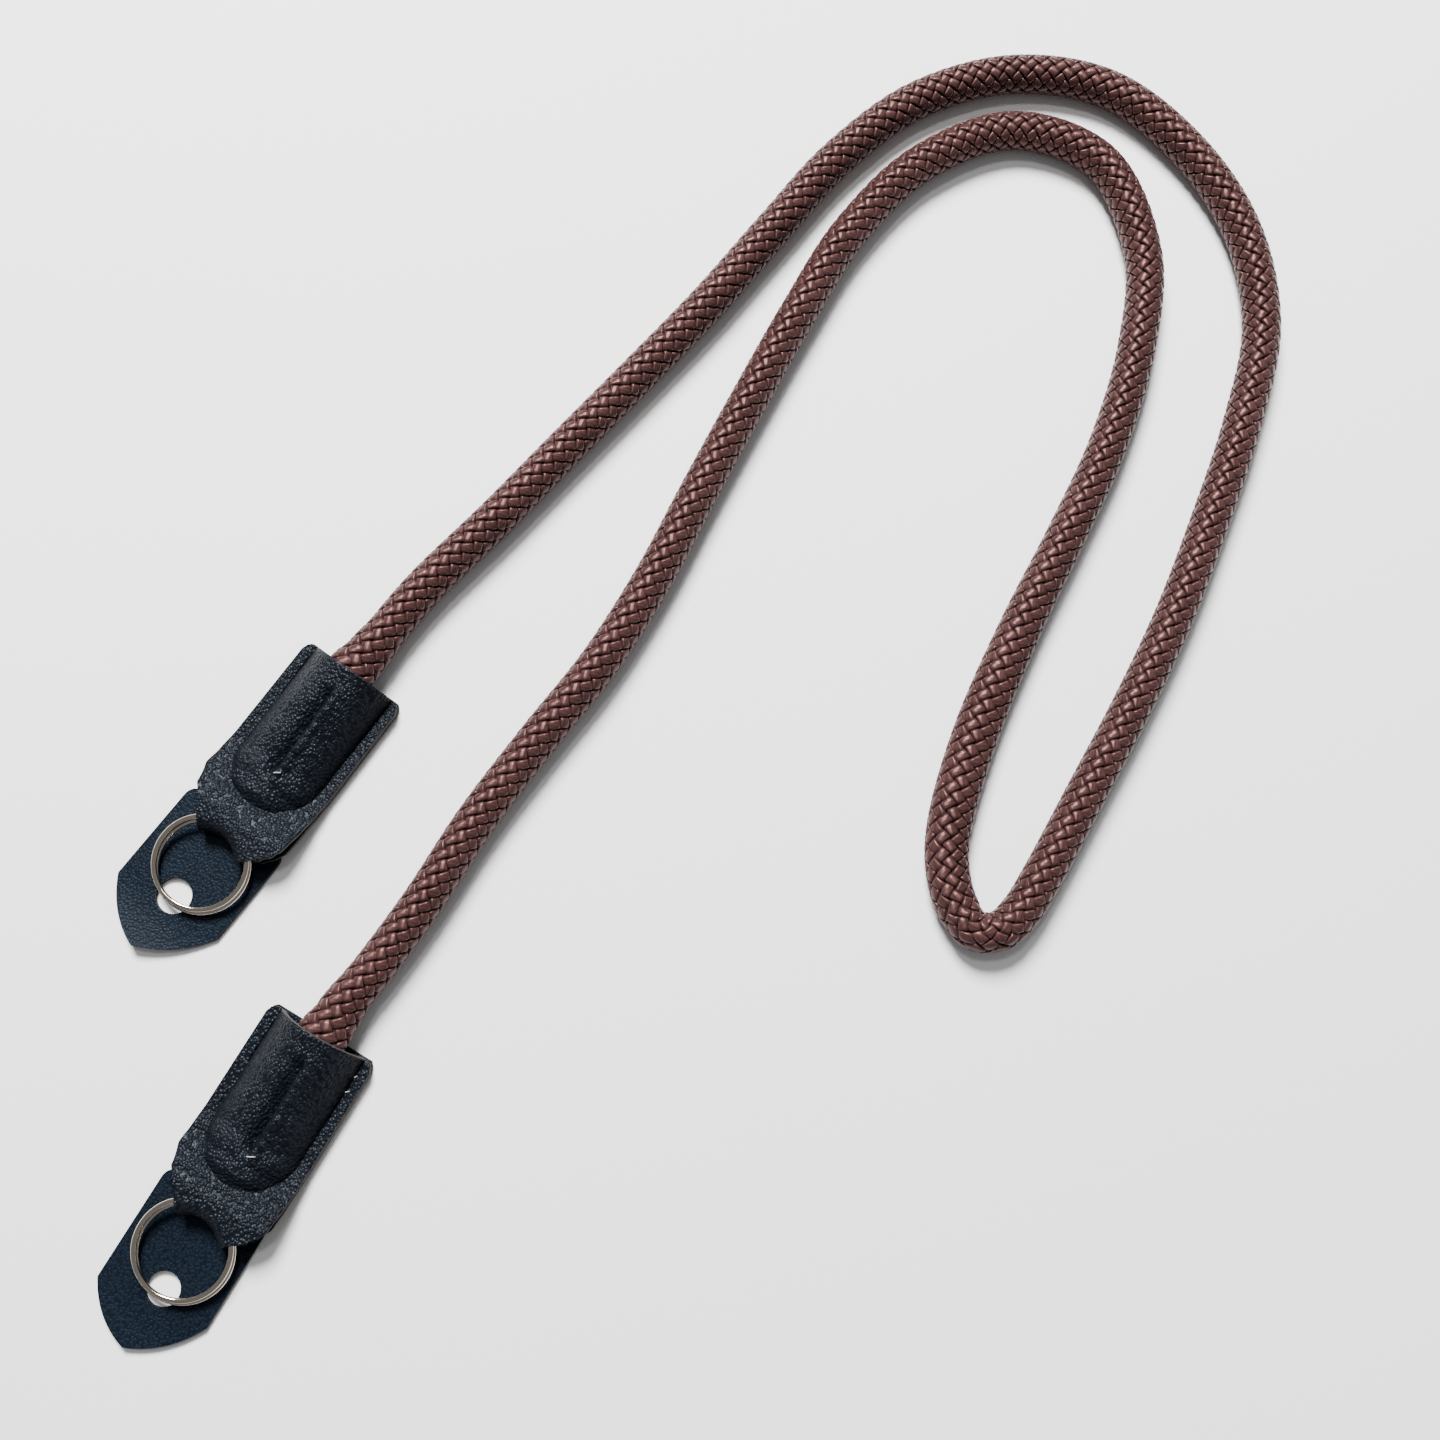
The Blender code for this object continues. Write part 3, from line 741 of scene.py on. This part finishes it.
def makeMottle():
    # slow and fine unevenness, from 0 to 1, for colour and gloss
    group = bpy.data.node_groups.new("mottle", 'ShaderNodeTree')
    group.interface.new_socket("Vector", in_out='INPUT', socket_type='NodeSocketVector')
    group.interface.new_socket("Slow Scale", in_out='INPUT', socket_type='NodeSocketFloat')
    group.interface.new_socket("Fine Scale", in_out='INPUT', socket_type='NodeSocketFloat')
    group.interface.new_socket("Slow", in_out='OUTPUT', socket_type='NodeSocketFloat')
    group.interface.new_socket("Fine", in_out='OUTPUT', socket_type='NodeSocketFloat')
    start = newNode(group, "NodeGroupInput", (-600, 0))
    finish = newNode(group, "NodeGroupOutput", (300, 0))
    slowNoise = newNode(group, "ShaderNodeTexNoise", (-300, 150), Detail=3.0, Roughness=0.55)
    fineNoise = newNode(group, "ShaderNodeTexNoise", (-300, -150), Detail=2.0, Roughness=0.6)
    link = group.links.new
    link(start.outputs["Vector"], slowNoise.inputs["Vector"])
    link(start.outputs["Vector"], fineNoise.inputs["Vector"])
    link(start.outputs["Slow Scale"], slowNoise.inputs["Scale"])
    link(start.outputs["Fine Scale"], fineNoise.inputs["Scale"])
    link(slowNoise.outputs["Fac"], finish.inputs["Slow"])
    link(fineNoise.outputs["Fac"], finish.inputs["Fine"])
    return group


grainLook = {
    "warpScale": 700.0, "warp": 0.0005, "domeFrom": 0.12, "domeTo": 0.78, "smallTo": 0.8, "creaseTo": 0.45,
}


def makeGrain():
    # leather grain: small round pebbles parted by creases, and finer ones over them
    group = bpy.data.node_groups.new("leatherGrain", 'ShaderNodeTree')
    group.interface.new_socket("Vector", in_out='INPUT', socket_type='NodeSocketVector')
    for label in ("Pebble Scale", "Wrinkle Scale", "Wrinkle Share"):
        group.interface.new_socket(label, in_out='INPUT', socket_type='NodeSocketFloat')
    group.interface.new_socket("Height", in_out='OUTPUT', socket_type='NodeSocketFloat')
    group.interface.new_socket("Crease", in_out='OUTPUT', socket_type='NodeSocketFloat')
    start = newNode(group, "NodeGroupInput", (-900, 0))
    finish = newNode(group, "NodeGroupOutput", (700, 0))
    warp = newNode(group, "ShaderNodeTexNoise", (-700, -200), Detail=2.0)
    warp.inputs["Scale"].default_value = grainLook["warpScale"]
    bend = newNode(group, "ShaderNodeVectorMath", (-500, -100), operation='MULTIPLY_ADD')
    bend.inputs[1].default_value = (grainLook["warp"],) * 3
    pebbles = newNode(group, "ShaderNodeTexVoronoi", (-250, 200), feature='F1')
    fine = newNode(group, "ShaderNodeTexVoronoi", (-250, -100), feature='F1')
    domes = newNode(group, "ShaderNodeMapRange", (0, 200), interpolation_type='SMOOTHSTEP')
    domes.inputs["From Min"].default_value = grainLook["domeFrom"]
    domes.inputs["From Max"].default_value = grainLook["domeTo"]
    domes.inputs["To Min"].default_value = 1.0
    domes.inputs["To Max"].default_value = 0.0
    small = newNode(group, "ShaderNodeMapRange", (0, -100))
    small.inputs["From Max"].default_value = grainLook["smallTo"]
    small.inputs["To Min"].default_value = 1.0
    small.inputs["To Max"].default_value = 0.0
    # the crease mask is low between the pebbles; the leather material uses it to darken its colour there as
    # painted shade
    creased = newNode(group, "ShaderNodeMapRange", (300, 250))
    creased.inputs["From Max"].default_value = grainLook["creaseTo"]
    mixed = newNode(group, "ShaderNodeMix", (300, 0))
    link = group.links.new
    link(start.outputs["Vector"], warp.inputs["Vector"])
    link(warp.outputs["Color"], bend.inputs[0])
    link(start.outputs["Vector"], bend.inputs[2])
    link(bend.outputs["Vector"], pebbles.inputs["Vector"])
    link(bend.outputs["Vector"], fine.inputs["Vector"])
    link(start.outputs["Pebble Scale"], pebbles.inputs["Scale"])
    link(start.outputs["Wrinkle Scale"], fine.inputs["Scale"])
    link(pebbles.outputs["Distance"], domes.inputs["Value"])
    link(fine.outputs["Distance"], small.inputs["Value"])
    link(domes.outputs["Result"], creased.inputs["Value"])
    link(start.outputs["Wrinkle Share"], mixed.inputs["Factor"])
    link(domes.outputs["Result"], mixed.inputs["A"])
    link(small.outputs["Result"], mixed.inputs["B"])
    link(mixed.outputs["Result"], finish.inputs["Height"])
    link(creased.outputs["Result"], finish.inputs["Crease"])
    return group


mottle = makeMottle()
grain = makeGrain()


def addGroup(tree, group, place, **values):
    node = newNode(tree, "ShaderNodeGroup", place)
    node.node_tree = group
    for key, value in values.items():
        node.inputs[key.replace("_", " ")].default_value = value
    return node


pocketLook = {
    "dark": (0.0035, 0.0045, 0.007), "light": (0.006, 0.0075, 0.0115), "roughness": 0.35, "shine": 0.10,
    "pebble": 1300.0, "wrinkle": 2300.0, "wrinkleShare": 0.15, "bump": 1.0, "depth": 0.24,
}
padLook = {
    "dark": (0.003, 0.0055, 0.010), "light": (0.0055, 0.0095, 0.0165), "roughness": 0.42, "shine": 0.055,
    "pebble": 1500.0, "wrinkle": 2900.0, "wrinkleShare": 0.25, "bump": 0.75, "depth": 0.14,
}
# what both leathers have in common
leatherLook = {
    # how much shade is painted into the grain's creases
    "slowScale": 70.0, "fineScale": 1500.0, "paintedCreaseShade": 0.45, "duller": 0.10, "glossier": 0.08,
    "shineTint": (0.80, 0.90, 1.0),
}


def leatherMaterial(name, look):
    material, tree, shader = newMaterial(name, look["dark"], look["roughness"])
    link = tree.links.new
    where = newNode(tree, "ShaderNodeTexCoord", (-1300, 0))
    pebbled = addGroup(
        tree, grain, (-1000, -150), Pebble_Scale=look["pebble"], Wrinkle_Scale=look["wrinkle"],
        Wrinkle_Share=look["wrinkleShare"],
    )
    uneven = addGroup(
        tree, mottle, (-1000, 200), Slow_Scale=leatherLook["slowScale"], Fine_Scale=leatherLook["fineScale"],
    )
    link(where.outputs["Object"], pebbled.inputs["Vector"])
    link(where.outputs["Object"], uneven.inputs["Vector"])
    tone = newNode(tree, "ShaderNodeMix", (-650, 250), data_type='RGBA')
    tone.inputs["A"].default_value = (*look["dark"], 1)
    tone.inputs["B"].default_value = (*look["light"], 1)
    link(uneven.outputs["Slow"], tone.inputs["Factor"])
    # painted shade: the base colour is darkened in the grain's creases
    creaseShaded = newNode(tree, "ShaderNodeMix", (-400, 250), data_type='RGBA', blend_type='MULTIPLY')
    creaseShaded.inputs["Factor"].default_value = leatherLook["paintedCreaseShade"]
    link(tone.outputs["Result"], creaseShaded.inputs["A"])
    link(pebbled.outputs["Crease"], creaseShaded.inputs["B"])
    link(creaseShaded.outputs["Result"], shader.inputs["Base Color"])
    gloss = newNode(tree, "ShaderNodeMapRange", (-400, 0))
    gloss.inputs["To Min"].default_value = look["roughness"] + leatherLook["duller"]
    gloss.inputs["To Max"].default_value = look["roughness"] - leatherLook["glossier"]
    link(uneven.outputs["Fine"], gloss.inputs["Value"])
    link(gloss.outputs["Result"], shader.inputs["Roughness"])
    bump = newNode(tree, "ShaderNodeBump", (-400, -250), Strength=look["bump"], Distance=look["depth"] * mm)
    link(pebbled.outputs["Height"], bump.inputs["Height"])
    link(bump.outputs["Normal"], shader.inputs["Normal"])
    shader.inputs["Specular IOR Level"].default_value = look["shine"]
    shader.inputs["Specular Tint"].default_value = (*leatherLook["shineTint"], 1)
    return material


edgeLook = {
    "dark": (0.008, 0.0075, 0.008), "light": (0.026, 0.019, 0.016), "roughness": 0.85,
    "slowScale": 400.0, "fineScale": 4200.0, "bump": 0.7, "depth": 0.12,
}


def cutEdgeMaterial(look):
    # the raw edge of cut leather: fibrous and browner than its face
    material, tree, shader = newMaterial("leatherCutEdge", look["dark"], look["roughness"])
    link = tree.links.new
    where = newNode(tree, "ShaderNodeTexCoord", (-900, 0))
    uneven = addGroup(tree, mottle, (-650, 0), Slow_Scale=look["slowScale"], Fine_Scale=look["fineScale"])
    link(where.outputs["Object"], uneven.inputs["Vector"])
    tone = newNode(tree, "ShaderNodeMix", (-350, 150), data_type='RGBA')
    tone.inputs["A"].default_value = (*look["dark"], 1)
    tone.inputs["B"].default_value = (*look["light"], 1)
    link(uneven.outputs["Slow"], tone.inputs["Factor"])
    link(tone.outputs["Result"], shader.inputs["Base Color"])
    bump = newNode(tree, "ShaderNodeBump", (-350, -150), Strength=look["bump"], Distance=look["depth"] * mm)
    link(uneven.outputs["Fine"], bump.inputs["Height"])
    link(bump.outputs["Normal"], shader.inputs["Normal"])
    return material


strandLook = {
    # how much shade is painted into the grooves between the yarns
    "yarns": 9.0, "lay": 0.05, "paintedYarnShade": 0.4, "bump": 0.4, "depth": 0.03,
    "slowScale": 160.0, "fineScale": 2600.0,
    "dark": (0.012, 0.0058, 0.0058), "light": (0.047, 0.0220, 0.0215),
    "roughness": 0.34, "shine": 0.34, "shineTint": (1.0, 0.52, 0.48), "stretch": 0.90, "quarterTurn": 0.25,
}


def strandMaterial(look):
    # flat strands of fine parallel yarns: U runs across a strand and V along it in millimetres
    material, tree, shader = newMaterial("braidStrand", look["light"], look["roughness"])
    link = tree.links.new
    where = newNode(tree, "ShaderNodeTexCoord", (-1500, 0))
    unwrapped = newNode(tree, "ShaderNodeUVMap", (-1500, -300), uv_map="UVMap")
    apart = newNode(tree, "ShaderNodeSeparateXYZ", (-1300, -300))
    link(unwrapped.outputs["UV"], apart.inputs["Vector"])
    uneven = addGroup(tree, mottle, (-1200, 200), Slow_Scale=look["slowScale"], Fine_Scale=look["fineScale"])
    link(where.outputs["Object"], uneven.inputs["Vector"])
    drift = newNode(tree, "ShaderNodeMath", (-1100, -450), operation='MULTIPLY_ADD')
    drift.inputs[1].default_value = look["lay"]
    link(apart.outputs["Y"], drift.inputs[0])
    link(apart.outputs["X"], drift.inputs[2])
    phase = newNode(tree, "ShaderNodeMath", (-900, -450), operation='MULTIPLY')
    phase.inputs[1].default_value = look["yarns"] * 2 * math.pi
    link(drift.outputs["Value"], phase.inputs[0])
    wave = newNode(tree, "ShaderNodeMath", (-700, -450), operation='SINE')
    link(phase.outputs["Value"], wave.inputs[0])
    yarn = newNode(tree, "ShaderNodeMapRange", (-500, -450))
    yarn.inputs["From Min"].default_value = -1.0
    link(wave.outputs["Value"], yarn.inputs["Value"])
    tone = newNode(tree, "ShaderNodeMix", (-500, 250), data_type='RGBA')
    tone.inputs["A"].default_value = (*look["dark"], 1)
    tone.inputs["B"].default_value = (*look["light"], 1)
    # painted shade: the colour darkens in the grooves between the yarns, and the slow mottle varies the tone
    # at random
    shade = newNode(tree, "ShaderNodeMath", (-700, 100), operation='MULTIPLY_ADD')
    shade.inputs[1].default_value = look["paintedYarnShade"]
    link(yarn.outputs["Result"], shade.inputs[0])
    link(uneven.outputs["Slow"], shade.inputs[2])
    link(shade.outputs["Value"], tone.inputs["Factor"])
    link(tone.outputs["Result"], shader.inputs["Base Color"])
    bump = newNode(tree, "ShaderNodeBump", (-250, -300), Strength=look["bump"], Distance=look["depth"] * mm)
    link(yarn.outputs["Result"], bump.inputs["Height"])
    link(bump.outputs["Normal"], shader.inputs["Normal"])
    # the yarns spread a highlight along the strand and keep it narrow across
    across = newNode(tree, "ShaderNodeTangent", (-250, -550), direction_type='UV_MAP', uv_map="UVMap")
    link(across.outputs["Tangent"], shader.inputs["Tangent"])
    shader.inputs["Anisotropic"].default_value = look["stretch"]
    shader.inputs["Anisotropic Rotation"].default_value = look["quarterTurn"]
    shader.inputs["Specular IOR Level"].default_value = look["shine"]
    shader.inputs["Specular Tint"].default_value = (*look["shineTint"], 1)
    return material


steelLook = {
    "colour": (0.52, 0.46, 0.40), "smooth": 0.09, "dull": 0.13, "slowScale": 250.0, "fineScale": 3000.0,
}


def steelMaterial(look):
    material, tree, shader = newMaterial("ringSteel", look["colour"], look["smooth"], 1.0)
    link = tree.links.new
    where = newNode(tree, "ShaderNodeTexCoord", (-900, 0))
    uneven = addGroup(tree, mottle, (-650, 0), Slow_Scale=look["slowScale"], Fine_Scale=look["fineScale"])
    link(where.outputs["Object"], uneven.inputs["Vector"])
    gloss = newNode(tree, "ShaderNodeMapRange", (-350, 100))
    gloss.inputs["To Min"].default_value = look["smooth"]
    gloss.inputs["To Max"].default_value = look["dull"]
    link(uneven.outputs["Fine"], gloss.inputs["Value"])
    link(gloss.outputs["Result"], shader.inputs["Roughness"])
    return material


plainLooks = {
    "core": {"colour": (0.012, 0.005, 0.005), "roughness": 0.9},
    "thread": {"colour": (0.34, 0.33, 0.31), "roughness": 0.8},
    "floor": {"colour": (0.83, 0.83, 0.84), "roughness": 0.7},
}
pocketLeather = leatherMaterial("pocketLeather", pocketLook)
padLeather = leatherMaterial("padLeather", padLook)
cutEdge = cutEdgeMaterial(edgeLook)
braidStrand = strandMaterial(strandLook)
ringSteel = steelMaterial(steelLook)
coreDark, _, _ = newMaterial("ropeCoreDark", **plainLooks["core"])
threadPale, _, _ = newMaterial("threadPale", **plainLooks["thread"])
print("materials mixed")


def dress(piece, *materials):
    for material in materials:
        piece.data.materials.append(material)


dress(ropeCore, coreDark)
for braid in ropeBraids:
    dress(braid, braidStrand)
for side in endPlaces:
    dress(pockets[side], pocketLeather, cutEdge)
    dress(pads[side], padLeather, cutEdge)
    dress(rings[side], ringSteel)
    dress(threads[side], threadPale)


# What each piece rides on and stands for

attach(ropeCore, "strap")
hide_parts("rope", "rope_end_left", "rope_end_right")
for braid in ropeBraids:
    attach(braid, "strap")
for side in endPlaces:
    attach(pockets[side], "strap")
    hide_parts("leather_pocket_" + side)
    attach(pads[side], "strap")
    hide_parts("protector_pad_" + side)
    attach(threads[side], "strap")
    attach(rings[side], "ring_" + side)
    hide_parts("split_ring_" + side)


# Floor and light

studio = {
    "floorReach": 3.0, "sky": (1.0, 1.0, 1.0), "skyStrength": 0.28, "aim": (50, 120, 0),
    "lights": [
        {
            "name": "windowLight", "azimuth": -47.0, "elevation": 50.0, "distance": 1.6,
            "size": 0.62, "power": 112.0, "colour": (1.0, 0.99, 0.97),
        },
        {
            "name": "ceilingLight", "azimuth": -60.0, "elevation": 74.0, "distance": 1.7,
            "size": 0.22, "power": 4.5, "colour": (1.0, 0.98, 0.95),
        },
    ],
}


def makeFloor():
    shape = bmesh.new()
    bmesh.ops.create_grid(shape, x_segments=1, y_segments=1, size=studio["floorReach"])
    mesh = bpy.data.meshes.new("floor")
    shape.to_mesh(mesh)
    shape.free()
    floor = addObject("floor", mesh)
    material, _, _ = newMaterial("floorPaper", **plainLooks["floor"])
    floor.data.materials.append(material)


def addLight(name, azimuth, elevation, distance, size, power, colour):
    # an area light that looks at the strap from an azimuth and elevation in degrees
    data = bpy.data.lights.new(name, 'AREA')
    data.shape = 'DISK'
    data.size = size
    data.energy = power
    data.color = colour
    light = bpy.data.objects.new(name, data)
    bpy.context.scene.collection.objects.link(light)
    a = math.radians(azimuth)
    e = math.radians(elevation)
    away = Vector((math.sin(a) * math.cos(e), math.cos(a) * math.cos(e), math.sin(e)))
    light.location = Vector(studio["aim"]) * mm + away * distance
    light.rotation_euler = away.to_track_quat('Z', 'Y').to_euler()


makeFloor()
world = bpy.data.worlds.new("studio")
bpy.context.scene.world = world
world.use_nodes = True
sky = world.node_tree.nodes["Background"]
sky.inputs["Color"].default_value = (*studio["sky"], 1)
sky.inputs["Strength"].default_value = studio["skyStrength"]
for settings in studio["lights"]:
    addLight(**settings)
print("floor and lights set")
